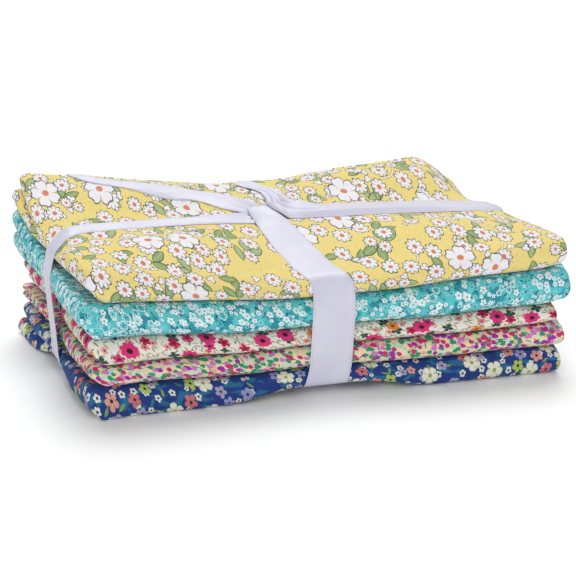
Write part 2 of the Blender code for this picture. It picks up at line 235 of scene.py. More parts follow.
def place(level, x, y, through):
    """A point of the cloth on face `level`, `through` of the way up its thickness, in millimetres."""
    if level == 0:
        through = np.where(through < 0.5, 0.5 * (2.0 * np.clip(through, 0.0, 1.0)) ** 1.8, through)
    low = face_height(level, x, y) + CLOTH_GAP / 2 * (level > 0)
    high = face_height(level + 1, x, y) - CLOTH_GAP / 2
    near_tie_y = 1.0 - ease((np.abs(y - TIE_Y) - DENT_HALF) / DENT_FADE_Y)
    near_tie_x = 1.0 - ease((np.abs(x) - DENT_HALF) / DENT_FADE_X)
    dent_x = END_DENT * near_tie_y * (x / HALF_LENGTH) ** 3
    if level == len(PILE) - 1:
        beyond = np.clip(ROUND_FROM_X - x, 0.0, ROUND_RADIUS - 1.0)
        high = high - near_tie_y * (ROUND_RADIUS - np.sqrt(ROUND_RADIUS ** 2 - beyond ** 2))
    dent_y = SIDE_DENT * near_tie_x * (y / HALF_DEPTH) ** 3
    return np.stack((x - dent_x + SHIFT_X, y - dent_y - SKEW * x / HALF_LENGTH + SHIFT_Y,
                     low + (high - low) * through), axis=-1)


def run_of(start, stop, count):
    """Lines along a straight run of cloth, closer together at its two ends."""
    t = np.linspace(0.0, 1.0, count + 1)
    return start + (stop - start) * (t - 0.08 * np.sin(2.0 * math.pi * t))


def grid_faces(tall, wide):
    """The four corners of each face of a grid of points, row by row."""
    index = np.arange(wide * tall).reshape(tall, wide)
    return np.stack((index[:-1, :-1], index[:-1, 1:], index[1:, 1:], index[1:, :-1]), axis=-1).reshape(-1, 4)


def sheet_mesh(name, grid, **flat_layers):
    """A mesh over a grid of points, with flat coordinates across and along it; all are in millimetres."""
    tall, wide = grid.shape[:2]
    faces = grid_faces(tall, wide)
    mesh = bpy.data.meshes.new(name)
    mesh.from_pydata((grid.reshape(-1, 3) / 1000.0).tolist(), [], faces.tolist())
    for layer_name, flat in flat_layers.items():
        flat = np.stack([np.broadcast_to(way, (tall, wide)).reshape(-1) for way in flat], axis=-1)
        uv = flat[faces.reshape(-1)]
        mesh.uv_layers.new(name=layer_name).data.foreach_set("uv", uv.reshape(-1))
    mesh.shade_smooth()
    return mesh


def soft_piece(name, mesh, thickness, node):
    """A sheet at its real thickness, in the place of the part's own node."""
    obj = new_object(name, mesh)
    shell = obj.modifiers.new("thickness", "SOLIDIFY")
    shell.thickness = thickness / 1000.0
    shell.offset = 0.0
    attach(obj, "root")
    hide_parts(node)
    return obj


def folded_sheet(colour, columns, rows, print_stretch=1.0):
    """One cut sheet, folded twice into four plies and over once more round the front spine."""
    level = PILE.index(colour)
    left_front, left_rear, step, right_front, right_rear, front, rear = ENDS[colour]
    half_turn = np.linspace(0.0, math.pi, 15)
    outer, inner = 1.5 * PLY_STEP, 0.5 * PLY_STEP
    centre = front + BLOCK_THICKNESS / 2

    # across the length: t runs from the left turn (0) to the right end (1), and phi goes round the turn
    t = run_of(0.0, 1.0, columns)[1:]
    t = np.concatenate((run_of(1.0, 0.0, columns)[:-1], np.zeros(len(half_turn)), t))
    phi = np.concatenate((np.full(columns, math.pi), half_turn[::-1], np.zeros(columns)))

    # down the width: lower rear edge, front spine, upper rear fold, and back along the inner plies
    def wrap(count, turn_steps):
        turn = np.linspace(-math.pi / 2, math.pi / 2, turn_steps + 1)[1:-1]
        y = np.concatenate((run_of(rear, centre, count), np.full(len(turn), centre),
                            run_of(centre, rear, count)))
        return y, np.concatenate((np.full(count + 1, -math.pi / 2), turn, np.full(count + 1, math.pi / 2)))
    y_out, angle_out = wrap(rows, 18)
    y_in, angle_in = wrap(rows // 2, 10)
    psi = np.linspace(0.0, math.pi, 7)[1:-1]
    y = np.concatenate((y_out, rear + inner * np.sin(psi) * 0.8, y_in[::-1]))
    angle = np.concatenate((angle_out, np.full(len(psi), math.pi / 2), angle_in[::-1]))
    rho = np.concatenate((np.full(len(y_out), outer), PLY_STEP + inner * np.cos(psi),
                          np.full(len(y_in), inner)))
    along = np.clip((y - front) / (rear - front), 0.0, 1.0)

    rho_, phi_, t_ = rho[:, None], phi[None, :], t[None, :]
    y_, angle_, along_ = y[:, None], angle[:, None], along[:, None]
    stops_short = -BULGE_OVER + (step + BULGE_OVER) * along_ ** 3
    upper = (1.0 + np.sin(angle_)) / 2.0
    left = left_front + (left_rear - left_front) * along_
    left = left + stops_short * upper - np.minimum(1.2 * stops_short, 0.0) * (1.0 - upper)
    right = right_front + (right_rear - right_front) * along_ - 1.6 * (0.5 - 0.5 * np.cos(phi_))
    right = right - 3.0 * (rho_ * np.minimum(np.sin(angle_), 0.0) / outer) ** 2
    corner_in = TOP_CORNER_IN if colour == "yellow" else CORNER_IN
    right = right - corner_in * (1.0 - ease((y_ - front) / CORNER_REACH))
    turn_x = left + outer
    x = turn_x - rho_ * np.sin(phi_) + (right - turn_x) * t_
    off = rho_ * np.cos(phi_)
    wander = 0.45 * waves(40 + level, x, y_ + 90.0 * np.sin(angle_), 30.0, 80.0)
    off = off + wander * (rho_ < PLY_STEP)
    depth = STACK_MIDDLE + off
    y_place = y_ - depth * np.cos(angle_)
    # cut ends and rear edges lie looser, so the block thins and rounds off towards them
    thin = 1.0 - LOOSER * ease((x - (right - 11.0)) / 11.0) ** 2 - LOOSER * ease((y_ - rear + 8.0) / 8.0)
    through = 0.5 + (depth * thin) / BLOCK_THICKNESS * np.sin(angle_)
    # towards the front of the left end the upper lump swells down over the lower one
    swell = SWELL * (1.0 - ease((x - left) / SWELL_REACH)) * (1.0 - ease((along_ - 0.25) / 0.6))
    through = through - swell * (1.0 - (2.0 * np.clip(through, 0.0, 1.0) - 1.0) ** 2)
    spot = place(level, x, y_place, through)

    # flat cloth coordinates, in millimetres, for the weave and for the print
    arc = math.pi * outer
    side = np.where(phi > math.pi / 2, -1.0, 1.0)
    flat_a = FLAT_HALF + np.where(t > 0, side * (arc / 2 + FLAT_REACH * t), arc * (0.5 - phi / math.pi))
    spine = np.abs(angle) < math.pi / 2 - 1e-6
    stride = np.hypot(np.diff(y), SPINE_ROUND * np.diff(angle))
    slow = np.where(spine[1:] | spine[:-1], 1.0, 1.0 / print_stretch)
    flat_b, print_b = (np.concatenate(([0.0], np.cumsum(run)))[:, None] for run in (stride, stride * slow))
    mesh = sheet_mesh("fat_quarter_" + colour, spot, cloth=(flat_a, flat_b), print=(flat_a, print_b))
    underneath = mesh.polygons[(rows - 2) * (len(t) - 1) + len(t) - 6]
    if underneath.normal.z > 0:
        mesh.flip_normals()
    obj = soft_piece("cloth_" + colour, mesh, CLOTH_THICKNESS, "fat_quarter_" + colour)
    obj.modifiers["thickness"].material_offset = 1
    obj.modifiers["thickness"].material_offset_rim = 1
    return obj


def step_in(tree, kind, *feeds, **settings):
    """One node of a finish: each feed is a socket to link, a value to set, or None."""
    node = tree.nodes.new(kind)
    for key, value in settings.items():
        setattr(node, key, value)
    for socket, feed in zip(node.inputs, feeds):
        if isinstance(feed, bpy.types.NodeSocket):
            tree.links.new(feed, socket)
        elif feed is not None:
            socket.default_value = feed
    return node


def feed_named(tree, sockets, **feeds):
    """Links or sets the sockets of these names, which are written here with small letters and underscores."""
    for label, feed in feeds.items():
        socket = sockets[label.replace("_", " ").title()]
        if isinstance(feed, bpy.types.NodeSocket):
            tree.links.new(feed, socket)
        else:
            socket.default_value = feed


def sums(tree, operation, *feeds):
    return step_in(tree, "ShaderNodeMath", *feeds, operation=operation).outputs[0]


def times(tree, a, b):
    return sums(tree, "MULTIPLY", a, b)


def minus(tree, a, b):
    return sums(tree, "SUBTRACT", a, b)


def moves(tree, operation, a, b):
    return step_in(tree, "ShaderNodeVectorMath", a, b, operation=operation).outputs[0]


def length_of(tree, vector):
    return step_in(tree, "ShaderNodeVectorMath", vector, operation="LENGTH").outputs["Value"]


def noise(tree, cloth, scale, detail=2.0):
    """Soft chance blotches over the cloth, from 0 to 1."""
    node = step_in(tree, "ShaderNodeTexNoise", cloth, noise_dimensions="2D")
    feed_named(tree, node.inputs, scale=scale, detail=detail)
    return node.outputs[0]


def relief(tree, shader, height, strength, distance):
    """Lets the light pick out a fine relief on the surface."""
    bump = step_in(tree, "ShaderNodeBump")
    feed_named(tree, bump.inputs, strength=strength, distance=distance, height=height)
    tree.links.new(bump.outputs[0], shader.inputs["Normal"])


def laid_over(tree, under, over, mask):
    """One ink printed over another, as far as the mask goes."""
    node = tree.nodes.new("ShaderNodeMix")
    node.data_type = "RGBA"
    for number, feed in ((0, mask), (6, under), (7, over)):
        if isinstance(feed, bpy.types.NodeSocket):
            tree.links.new(feed, node.inputs[number])
        elif number == 0:
            node.inputs[0].default_value = feed
        else:
            node.inputs[number].default_value = (*feed, 1.0)
    return node.outputs[2]


def soft_step(tree, value, low, high):
    """0 below `low`, 1 above `high`, with a soft change between."""
    node = step_in(tree, "ShaderNodeMapRange", value, low, high, 0.0, 1.0, interpolation_type="SMOOTHSTEP")
    return node.outputs[0]


def shared_effect(name, inputs, outputs):
    """An effect that several finishes share. Cloth and Spot are places, and all else is a number."""
    group = bpy.data.node_groups.new(name, "ShaderNodeTree")
    for way, labels in (("INPUT", inputs), ("OUTPUT", outputs)):
        for label in labels:
            kind = "Vector" if label in ("Cloth", "Spot") else "Float"
            group.interface.new_socket(label, in_out=way, socket_type="NodeSocket" + kind)
    return group, group.nodes.new("NodeGroupInput").outputs, group.nodes.new("NodeGroupOutput").inputs


# where the motifs of a print fall: each one's own turned coordinates, its room, and two chance values
scatter, given, result = shared_effect(
    "motif places", ["Cloth", "Spacing", "Looseness", "Turn", "Start"],
    ["Spot", "Distance", "Angle", "Room", "Pick", "Pick Again"])
swung = step_in(scatter, "ShaderNodeVectorRotate", given["Cloth"], None, (0.0, 0.0, 1.0), given["Turn"],
                rotation_type="AXIS_ANGLE").outputs[0]
scaled = moves(scatter, "DIVIDE", swung, given["Spacing"])
moved = moves(scatter, "ADD", scaled, given["Start"])
moved = moves(scatter, "MULTIPLY", moved, (1.0, 1.0, 0.0))
cells = step_in(scatter, "ShaderNodeTexVoronoi", voronoi_dimensions="2D", feature="F1")
rooms = step_in(scatter, "ShaderNodeTexVoronoi", voronoi_dimensions="2D", feature="N_SPHERE_RADIUS")
for node in (cells, rooms):
    feed_named(scatter, node.inputs, scale=1.0, vector=moved, randomness=given["Looseness"])
parts = step_in(scatter, "ShaderNodeSeparateColor", cells.outputs["Color"])
apart = moves(scatter, "SUBTRACT", moved, cells.outputs["Position"])
local = moves(scatter, "MULTIPLY", apart, given["Spacing"])
spin = times(scatter, parts.outputs[0], 6.2832)
local = step_in(scatter, "ShaderNodeVectorRotate", local, None, (0.0, 0.0, 1.0), spin,
                rotation_type="AXIS_ANGLE").outputs[0]
axes = step_in(scatter, "ShaderNodeSeparateXYZ", local)
feed_named(scatter, result, spot=local, distance=length_of(scatter, local),
           angle=sums(scatter, "ARCTAN2", axes.outputs[1], axes.outputs[0]),
           room=times(scatter, rooms.outputs["Radius"], given["Spacing"]),
           pick=parts.outputs[1], pick_again=parts.outputs[2])

# a flower head: its printed area, its drawn line, and where one petal parts from the next
bloom, given, result = shared_effect(
    "flower head", ["Distance", "Angle", "Radius", "Petals", "Parting", "Notch", "Thin", "Line"],
    ["Inside", "Outline", "Partings", "Share"])
wave = times(bloom, given["Angle"], times(bloom, given["Petals"], 0.5))
wave = sums(bloom, "ABSOLUTE", sums(bloom, "COSINE", wave))
rounded = sums(bloom, "POWER", wave, given["Thin"])
dip = times(bloom, minus(bloom, 1.0, rounded), given["Parting"])
dip = sums(bloom, "ADD", dip, times(bloom, soft_step(bloom, wave, 0.86, 1.0), given["Notch"]))
edge = times(bloom, given["Radius"], minus(bloom, 1.0, dip))
clear = minus(bloom, edge, given["Distance"])
drawn = minus(bloom, given["Line"], sums(bloom, "ABSOLUTE", clear))
share = sums(bloom, "DIVIDE", given["Distance"], given["Radius"])
gap = minus(bloom, 1.0, soft_step(bloom, wave, 0.0, 0.3))
feed_named(bloom, result, inside=soft_step(bloom, clear, -0.08, 0.12),
           outline=soft_step(bloom, drawn, -0.08, 0.10), share=share,
           partings=times(bloom, gap, soft_step(bloom, share, 0.25, 0.6)))

# a leaf or a bare dab: a pointed oval with a line round it and a rib along it
blade, given, result = shared_effect("leaf", ["Spot", "Length", "Width", "Line"],
                                     ["Inside", "Outline", "Rib"])
axes = step_in(blade, "ShaderNodeSeparateXYZ", given["Spot"])
run = sums(blade, "DIVIDE", axes.outputs[1], times(blade, given["Length"], 0.5))
bow = minus(blade, 1.0, times(blade, run, run))
belly = times(blade, bow, times(blade, given["Width"], 0.5))
clear = minus(blade, belly, sums(blade, "ABSOLUTE", axes.outputs[0]))
drawn = minus(blade, given["Line"], sums(blade, "ABSOLUTE", clear))
drawn = times(blade, soft_step(blade, drawn, -0.08, 0.10), soft_step(blade, bow, -0.15, 0.0))
middle = minus(blade, 0.16, sums(blade, "ABSOLUTE", axes.outputs[0]))
middle = times(blade, soft_step(blade, middle, 0.0, 0.12), soft_step(blade, bow, 0.1, 0.3))
feed_named(blade, result, inside=soft_step(blade, clear, -0.06, 0.12), outline=drawn, rib=middle)

# plain weave: threads over and under one another, and a slight unevenness of the yarn
weave, given, result = shared_effect("plain weave", ["Cloth", "Pitch"], ["Height", "Yarn"])
turns = moves(weave, "DIVIDE", given["Cloth"], given["Pitch"])
axes = step_in(weave, "ShaderNodeSeparateXYZ", turns)
warp = sums(weave, "SINE", times(weave, axes.outputs[0], 6.2832))
weft = sums(weave, "SINE", times(weave, axes.outputs[1], 6.2832))
height = sums(weave, "ADD", 0.5, times(weave, times(weave, warp, weft), 0.5))
feed_named(weave, result, height=height, yarn=noise(weave, given["Cloth"], 0.7, detail=3.0))


def effect(tree, group, **feeds):
    """Places a shared effect in a finish and feeds its named inputs."""
    node = tree.nodes.new("ShaderNodeGroup")
    node.node_tree = group
    feed_named(tree, node.inputs, **feeds)
    return node.outputs


def inks(tree, pick, colours):
    """One of several inks by chance, or the only one."""
    if len(colours) == 1:
        return colours[0]
    ramp = step_in(tree, "ShaderNodeValToRGB", pick)
    ramp.color_ramp.interpolation = "CONSTANT"
    while len(ramp.color_ramp.elements) < len(colours):
        ramp.color_ramp.elements.new(0.5)
    for number, colour in enumerate(colours):
        ramp.color_ramp.elements[number].position = number / len(colours)
        ramp.color_ramp.elements[number].color = (*colour, 1.0)
    return ramp.outputs[0]


SMALLEST_SHARE = 0.55


def flowers(tree, under, cloth, spacing, radius, petals, colours, heart, heart_size=0.25, line=None,
            line_width=0.0, parting=0.45, notch=0.0, thin=0.55, some=1.0, loose=0.8, turn=0.4, start=0.0,
            veins=None):
    """A layer of flower heads over the cloth's colour so far."""
    spots = effect(tree, scatter, cloth=cloth, spacing=spacing, looseness=loose, turn=turn, start=start)
    fits = sums(tree, "MINIMUM", radius, times(tree, spots["Room"], 0.98))
    roomy = sums(tree, "GREATER_THAN", fits, radius * SMALLEST_SHARE)
    chosen = times(tree, sums(tree, "LESS_THAN", spots["Pick Again"], some), roomy)
    head = effect(tree, bloom, distance=spots["Distance"], angle=spots["Angle"], radius=fits, petals=petals,
                  parting=parting, notch=notch, thin=thin, line=line_width)
    ink = inks(tree, spots["Pick"], colours)
    colour = laid_over(tree, under, ink, times(tree, head["Inside"], chosen))
    if veins:
        lines = times(tree, head["Partings"], head["Inside"])
        colour = laid_over(tree, colour, veins, times(tree, lines, chosen))
    if line:
        colour = laid_over(tree, colour, line, times(tree, head["Outline"], chosen))
    if not heart_size:
        return colour
    centre = minus(tree, 1.0, soft_step(tree, head["Share"], heart_size * 0.8, heart_size * 1.15))
    return laid_over(tree, colour, heart, times(tree, centre, chosen))


def leaves(tree, under, cloth, spacing, length, width, colours, line=None, line_width=0.0, rib=None,
           some=1.0, loose=0.9, turn=0.0, start=0.0, leans=(0.0,)):
    """A layer of leaves, one for each lean from a common foot, or of bare dabs with neither line nor rib."""
    spots = effect(tree, scatter, cloth=cloth, spacing=spacing, looseness=loose, turn=turn, start=start)
    chosen = sums(tree, "LESS_THAN", spots["Pick Again"], some)
    ink = inks(tree, spots["Pick"], colours)
    colour = under
    for lean in leans:
        foot = moves(tree, "ADD", spots["Spot"], (0.0, 0.42 * length if lean else 0.0, 0.0))
        leant = step_in(tree, "ShaderNodeVectorRotate", foot, None, (0.0, 0.0, 1.0), lean,
                        rotation_type="AXIS_ANGLE").outputs[0]
        leant = moves(tree, "SUBTRACT", leant, (0.0, 0.5 * length if lean else 0.0, 0.0))
        shape = effect(tree, blade, spot=leant, length=length * (1.0 if lean >= 0 else 0.85), width=width,
                       line=line_width)
        colour = laid_over(tree, colour, ink, times(tree, shape["Inside"], chosen))
        if rib:
            colour = laid_over(tree, colour, rib, times(tree, shape["Rib"], chosen))
        if line:
            colour = laid_over(tree, colour, line, times(tree, shape["Outline"], chosen))
    return colour


def stems(tree, under, cloth, spacing, bend, length, width, colour, line, line_width, some, turn, start):
    """A layer of bent stems, each an arc of the radius `bend`."""
    spots = effect(tree, scatter, cloth=cloth, spacing=spacing, looseness=0.8, turn=turn, start=start)
    axes = step_in(tree, "ShaderNodeSeparateXYZ", spots["Spot"])
    centre = moves(tree, "SUBTRACT", spots["Spot"], (bend, 0.0, 0.0))
    off = sums(tree, "ABSOLUTE", minus(tree, length_of(tree, centre), bend))
    within = minus(tree, length / 2.0, sums(tree, "ABSOLUTE", axes.outputs[1]))
    within = times(tree, soft_step(tree, within, 0.0, 0.2), sums(tree, "LESS_THAN", axes.outputs[0], bend))
    within = times(tree, within, sums(tree, "LESS_THAN", spots["Pick Again"], some))
    for ink, half in ((line, width + line_width), (colour, width)):
        drawn = minus(tree, 1.0, soft_step(tree, off, half - 0.08, half + 0.08))
        under = laid_over(tree, under, ink, times(tree, drawn, within))
    return under


def in_layers(tree, colour, cloth, layers):
    """A print over the cloth's own colour, each layer with its sizes and its choices."""
    for draw, *sizes, choices in layers:
        colour = draw(tree, colour, cloth, *sizes, **choices)
    return colour


WEAVE_PITCH, WEAVE_DEPTH = 0.8, 0.12


def cotton(name, lay_print=None, plain=None):
    """A cotton's right side with its print, or its plain reverse."""
    material, tree, shader = new_finish(name)
    cloth = step_in(tree, "ShaderNodeUVMap", uv_map="cloth").outputs[0]
    pattern = step_in(tree, "ShaderNodeUVMap", uv_map="print").outputs[0]
    threads = effect(tree, weave, cloth=cloth, pitch=WEAVE_PITCH)
    colour = plain or lay_print(tree, pattern)
    # painted shade: the hollows of the weave, where the threads dip under, are darkened towards brown; the
    # same mix also carries a real unevenness of the yarn
    darker = times(tree, minus(tree, 1.0, threads["Height"]), 0.16)
    uneven = times(tree, soft_step(tree, threads["Yarn"], 0.35, 0.75), 0.10)
    weave_shade_and_yarn_tone = sums(tree, "ADD", darker, uneven)
    tree.links.new(laid_over(tree, colour, (0.10, 0.08, 0.05), weave_shade_and_yarn_tone), shader.inputs["Base Color"])
    relief(tree, shader, threads["Height"], WEAVE_DEPTH, 0.0002)
    set_inputs(shader, {"Roughness": 0.88, "Specular IOR Level": 0.15, "Sheen Weight": 0.06,
                        "Sheen Roughness": 0.5})
    return material


def printed(cloth, lay_print, reverse):
    """Gives a folded cloth its printed right side and its paler reverse."""
    name = cloth.name.replace("cloth", "cotton")
    cloth.data.materials.append(cotton(name, lay_print=lay_print))
    cloth.data.materials.append(cotton(name + "_reverse", plain=reverse))
    return cloth


def navy_print(tree, cloth):
    stretched = moves(tree, "MULTIPLY", cloth, (0.12, 0.34, 1.0))
    streaks = soft_step(tree, noise(tree, stretched, 1.0, detail=4.0), 0.5, 0.66)
    colour = laid_over(tree, (0.008, 0.040, 0.225), (0.016, 0.150, 0.310), streaks)
    lilac, mauve, lime = (0.30, 0.32, 0.58), (0.38, 0.36, 0.54), (0.44, 0.56, 0.12)
    coral, peach = (0.62, 0.17, 0.18), (0.72, 0.34, 0.27)
    return in_layers(tree, colour, cloth, [
        (leaves, 7.0, 4.2, 1.3, [(0.02, 0.20, 0.20), (0.20, 0.34, 0.08)], dict(some=0.55)),
        (flowers, 5.6, 1.6, 5.0, [(0.78, 0.78, 0.72)], (0.02, 0.03, 0.10), 0.34, dict(some=0.62, start=4.0)),
        (flowers, 8.6, 3.1, 5.0, [lilac, mauve, lime, coral, peach], (0.04, 0.02, 0.05), 0.24,
         dict(parting=0.55, veins=(0.05, 0.05, 0.16), some=0.82, start=9.0, turn=0.9)),
        (flowers, 17.5, 4.4, 5.0, [(0.80, 0.79, 0.66)], (0.28, 0.38, 0.10), 0.20,
         dict(line=(0.25, 0.33, 0.22), line_width=0.14, veins=(0.22, 0.34, 0.16), parting=0.45,
              notch=0.06, some=0.9, start=2.0, turn=0.2))])


cloth_navy = printed(folded_sheet("navy", 60, 36), navy_print, (0.06, 0.10, 0.26))


# Confetti fat quarter
# The second cloth: the same cut and folds in light straw cotton, crowded with green, raspberry and violet
# dabs in several sizes.
def confetti_print(tree, cloth):
    mint, straw, emerald = (0.50, 0.75, 0.68), (0.86, 0.72, 0.47), (0.014, 0.32, 0.16)
    raspberry, violet, orchid = (0.60, 0.03, 0.17), (0.36, 0.02, 0.40), (0.66, 0.20, 0.56)
    return in_layers(tree, straw, cloth, [
        (flowers, 3.0, 1.6, 2.0, [mint, (0.80, 0.40, 0.28), (0.58, 0.68, 0.46)], mint, 0.0,
         dict(parting=0.35, some=0.85)),
        (leaves, 5.0, 4.8, 0.6, [(0.01, 0.12, 0.06)], dict(some=0.8, start=17.0)),
        (flowers, 3.5, 1.8, 3.0, [emerald, mint, (0.03, 0.38, 0.22), emerald, orchid], emerald, 0.0,
         dict(parting=0.35, some=0.85, start=5.0, turn=0.7)),
        (leaves, 3.9, 3.4, 2.5, [raspberry, violet, emerald, orchid], dict(some=0.75, start=23.0, turn=1.2)),
        (flowers, 4.0, 1.95, 3.0, [raspberry, orchid, raspberry, violet, emerald], violet, 0.0,
         dict(parting=0.35, some=0.6, start=11.0, turn=0.3))])


cloth_confetti = printed(folded_sheet("confetti", 60, 36), confetti_print, (0.72, 0.60, 0.48))


# Cream fat quarter
# The third cloth: the same cut and folds in cream cotton, with pink and crimson flowers, dark leaf clusters
# and olive sprigs.
def cream_print(tree, cloth):
    olive = [(0.30, 0.29, 0.13), (0.42, 0.37, 0.20), (0.22, 0.26, 0.11)]
    return in_layers(tree, (0.83, 0.79, 0.72), cloth, [
        (leaves, 4.0, 3.3, 0.9, olive, dict(leans=(0.6, -0.6))),
        (leaves, 4.9, 4.6, 0.5, olive, dict(some=0.8, start=31.0)),
        (flowers, 7.0, 1.9, 5.0, [(0.74, 0.24, 0.24), (0.80, 0.38, 0.34)], (0.35, 0.03, 0.08), 0.32,
         dict(some=0.62, start=3.0)),
        (flowers, 11.5, 2.9, 4.0, [(0.015, 0.075, 0.065)], (0.10, 0.18, 0.12), 0.14,
         dict(parting=0.75, some=0.62, start=7.0, turn=1.1)),
        (flowers, 11.0, 2.9, 5.0, [(0.62, 0.03, 0.18), (0.52, 0.01, 0.08)], (0.16, 0.005, 0.03), 0.30,
         dict(parting=0.55, some=0.55, start=12.0, turn=0.5)),
        (flowers, 34.0, 3.2, 6.0, [(0.75, 0.25, 0.03)], (0.20, 0.04, 0.01), 0.28, dict(start=21.0)),
        (flowers, 19.0, 4.3, 8.0, [(0.74, 0.03, 0.20)], (0.03, 0.008, 0.008), 0.32,
         dict(veins=(0.44, 0.008, 0.09), parting=0.3, some=0.9, start=15.0, turn=0.2))])


cloth_cream = printed(folded_sheet("cream", 60, 36), cream_print, (0.76, 0.70, 0.64))


# Teal fat quarter
# The fourth cloth: the same cut and folds in turquoise cotton blotted with a darker teal, with small
# white-drawn blossoms and dark specks.
def teal_print(tree, cloth):
    blots = soft_step(tree, noise(tree, cloth, 0.16, detail=5.0), 0.46, 0.60)
    colour = laid_over(tree, (0.10, 0.59, 0.63), (0.018, 0.30, 0.38), blots)
    chalk, ink = (0.78, 0.90, 0.91), (0.010, 0.17, 0.25)
    return in_layers(tree, colour, cloth, [
        (leaves, 2.4, 2.2, 0.8, [(0.006, 0.10, 0.16), (0.012, 0.20, 0.27)], dict(some=0.5, start=6.0)),
        (flowers, 2.6, 1.3, 5.0, [(0.16, 0.62, 0.66), chalk, (0.06, 0.46, 0.52)], ink, 0.25,
         dict(line=(0.40, 0.76, 0.79), line_width=0.12, parting=0.5, some=0.75, start=1.0)),
        (flowers, 4.6, 2.0, 5.0, [chalk], (0.08, 0.48, 0.54), 0.24,
         dict(line=ink, line_width=0.13, veins=ink, parting=0.55, some=0.6, start=33.0, turn=1.3)),
        (flowers, 4.0, 2.05, 5.0,
         [chalk, (0.16, 0.60, 0.63), chalk, (0.06, 0.48, 0.54), (0.52, 0.80, 0.82)], (0.02, 0.30, 0.36),
         0.22,
         dict(line=chalk, line_width=0.2, veins=ink, parting=0.55, notch=0.08, some=0.6, start=14.0,
              turn=0.6))])


cloth_teal = printed(folded_sheet("teal", 60, 36), teal_print, (0.22, 0.58, 0.60))


# Yellow fat quarter
# The top cloth: pale yellow cotton with white daisies, larger blossoms and sage leaves, all drawn with a
# grey-brown line. The ties press a cross into it, so it stands up as four soft lobes.
def yellow_print(tree, cloth):
    pencil, chalk, sage = (0.11, 0.09, 0.07), (0.87, 0.86, 0.90), [(0.29, 0.41, 0.17), (0.38, 0.50, 0.24)]
    drawing = {"line": (0.08, 0.11, 0.05), "line_width": 0.21, "rib": (0.52, 0.62, 0.36)}
    return in_layers(tree, (0.86, 0.70, 0.25), cloth, [
        (stems, 24.0, 8.0, 12.0, 0.38, (0.86, 0.80, 0.56), pencil, 0.16, dict(some=0.8, turn=0.8, start=3.0)),
        (leaves, 16.5, 9.0, 3.8, sage, dict(drawing, some=0.95, leans=(0.62, -0.5))),
        (leaves, 13.0, 8.2, 3.4, sage, dict(drawing, some=0.45, start=27.0, turn=0.9)),
        (flowers, 6.8, 2.1, 3.0, [chalk], chalk, 0.1,
         dict(line=pencil, line_width=0.2, parting=0.7, thin=0.8, some=0.4, start=5.0)),
        (flowers, 10.0, 4.1, 9.0, [chalk], (0.70, 0.22, 0.12), 0.28,
         dict(line=pencil, line_width=0.26, parting=0.42, thin=0.75, veins=(0.50, 0.45, 0.36), some=0.94,
              start=8.0, turn=0.5, loose=0.5)),
        (flowers, 34.0, 7.4, 5.0, [chalk], (0.70, 0.24, 0.13), 0.22,
         dict(line=pencil, line_width=0.28, parting=0.42, notch=0.1, veins=(0.62, 0.52, 0.26),
              start=41.0, turn=0.3))])


cloth_yellow = printed(folded_sheet("yellow", 84, 48, print_stretch=1.7), yellow_print, (0.80, 0.68, 0.34))


# Satin ribbon
# One length of white satin ribbon, 20.5 mm wide and thinner than card. It goes once round the pile lengthwise
# and once crosswise, drawn tight over the cloths, and ends in a flat half knot where the turns cross on top.
RIBBON_WIDTH = 20.5
RIBBON_THICKNESS = 0.25
RIBBON_RIDE = 0.38
PILE_CORE_Z = 34.0
ACROSS = np.linspace(-1.0, 1.0, 33)
cloth_points = []
for sheet in (cloth_navy, cloth_confetti, cloth_cream, cloth_teal, cloth_yellow):
    spots = np.zeros(len(sheet.data.vertices) * 3)
    sheet.data.vertices.foreach_get("co", spots)
    cloth_points.append(spots.reshape(-1, 3) * 1000.0)
top_tree = BVHTree.FromPolygons([v.co for v in cloth_yellow.data.vertices],
                                [p.vertices for p in cloth_yellow.data.polygons])
cloth_points = np.concatenate(cloth_points)


def seen_from_above(tree, x, y, otherwise):
    hit = tree.ray_cast(Vector((x / 1000.0, y / 1000.0, 0.2)), Vector((0.0, 0.0, -1.0)))[0]
    return hit.z * 1000.0 if hit else otherwise


def top_of_pile(x, y, otherwise=69.0):
    return seen_from_above(top_tree, x, y, otherwise)


def drawn_tight(side_axis, beside, headings):
    """Distance from the pile's core to a thread drawn tight round it, for each heading."""
    near = cloth_points[np.abs(cloth_points[:, side_axis] - beside) < 2.8]
    flat = np.stack((near[:, 1 - side_axis], near[:, 2] - PILE_CORE_Z), axis=-1)
    flat = flat[np.lexsort((flat[:, 1], flat[:, 0]))].tolist()

    def chain(points):
        kept = []
        for p in points:
            while len(kept) > 1:
                a, b = kept[-2], kept[-1]
                if (b[0] - a[0]) * (p[1] - a[1]) - (b[1] - a[1]) * (p[0] - a[0]) > 0:
                    break
                kept.pop()
            kept.append(p)
        return kept[:-1]
    hull = np.array(chain(flat) + chain(flat[::-1]))
    after = np.roll(hull, -1, axis=0)
    side = after - hull
    aim_x, aim_z = np.cos(headings)[:, None], np.sin(headings)[:, None]
    with np.errstate(divide="ignore", invalid="ignore"):
        cross = aim_x * side[None, :, 1] - aim_z * side[None, :, 0]
        far = (hull[None, :, 0] * side[None, :, 1] - hull[None, :, 1] * side[None, :, 0]) / cross
        part = (hull[None, :, 0] * aim_z - hull[None, :, 1] * aim_x) / cross
    far[~((part >= -1e-9) & (part <= 1 + 1e-9) & (far > 0))] = 0.0
    return far.max(axis=1)


def on_top(height):
    return ease((height - 52.0) / 8.0)


def bell(distance, half):
    return np.exp(-(distance / half) ** 2)


def cover(height, half):
    """A smooth cover over a grid of heights, nowhere below them."""
    for pick in (np.max, np.mean):
        for axis in (0, 1):
            padded = np.pad(height, [(half, half) if k == axis else (0, 0) for k in (0, 1)], mode="edge")
            height = pick([np.take(padded, range(n, n + height.shape[axis]), axis=axis)
                           for n in range(2 * half + 1)], axis=0)
    return height


def run_along(grid, column):
    """How far along the ribbon each row lies, by the length of one column."""
    strides = np.linalg.norm(np.diff(grid[:, column], axis=0), axis=1)
    return np.concatenate(([0.0], np.cumsum(strides)))[:, None]


